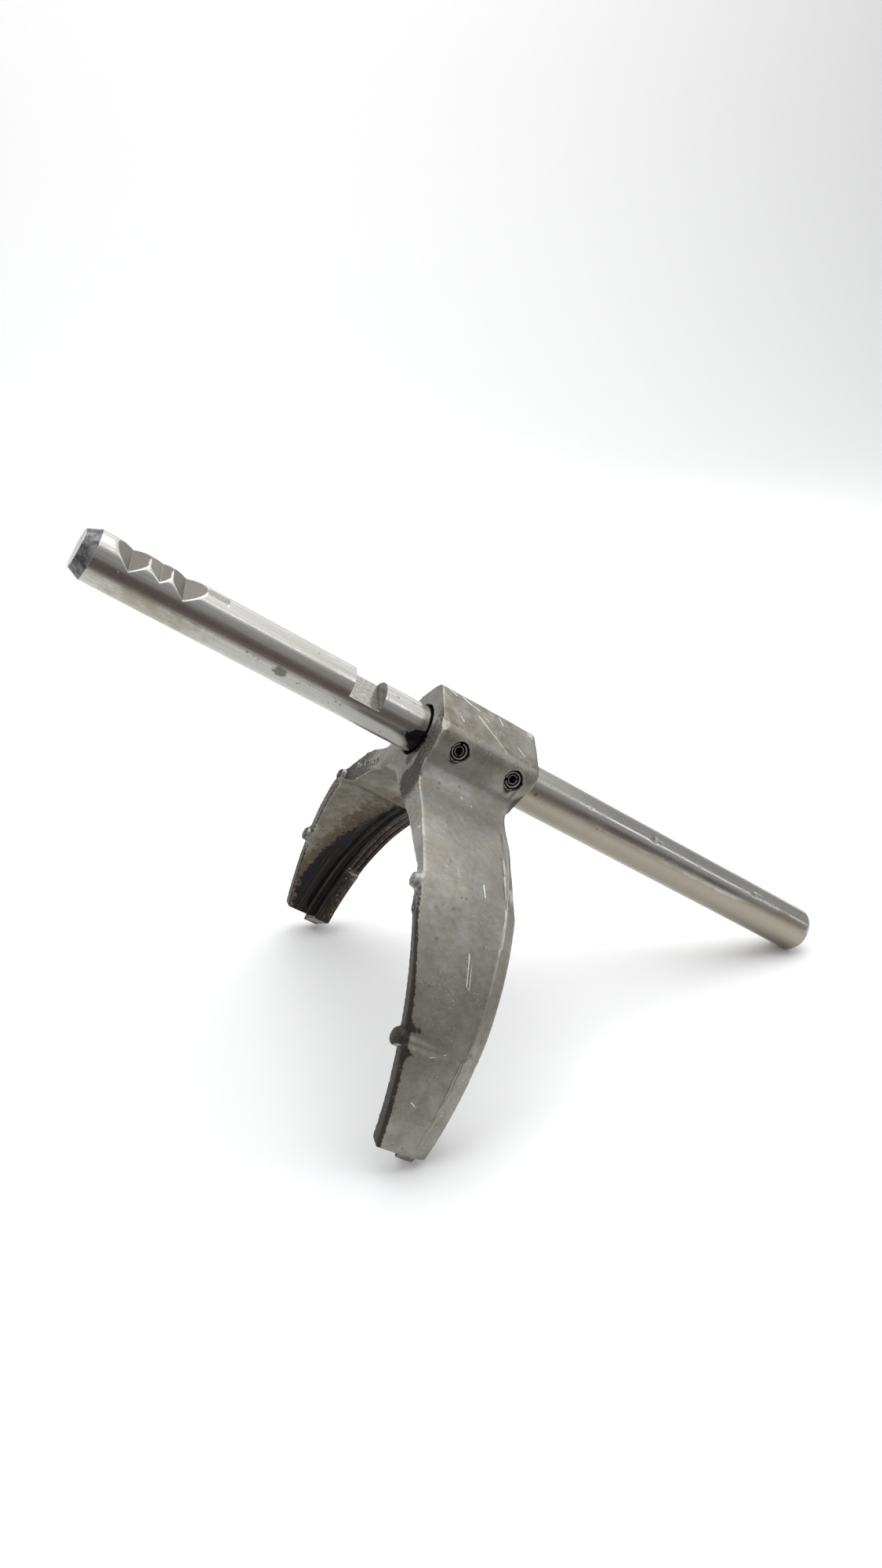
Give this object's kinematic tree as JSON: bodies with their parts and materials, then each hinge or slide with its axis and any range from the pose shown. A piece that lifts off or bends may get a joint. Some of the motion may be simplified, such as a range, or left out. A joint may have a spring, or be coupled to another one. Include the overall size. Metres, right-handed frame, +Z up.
{
  "type": "gearbox shift fork on its rail",
  "caption": "Cast shift fork pinned to a ground steel shift rail with detent notches, a selector slot and nested spring pins.",
  "frame": {"origin": "middle of the assembly's box, on the surface it stands on: both fork tips and the rail's rear end touch it", "axes": "+X horizontally along the rail towards its lower rear end, +Y towards the shorter arm, +Z up"},
  "size_m": [0.2524, 0.154, 0.1641],
  "materials": {
    "ground_steel": "ground, oiled and slightly stained",
    "cast_aluminium": "as cast, scratched, grimed with oil",
    "spring_steel": "oiled spring steel",
    "inner_spring_steel": "oiled spring steel"
  },
  "bodies": {
    "root": {"shift_rail": "ground_steel", "shift_fork": "cast_aluminium", "front_spring_pin": "spring_steel", "front_inner_pin": "inner_spring_steel", "rear_spring_pin": "spring_steel", "rear_inner_pin": "inner_spring_steel"}
  },
  "joints": []
}
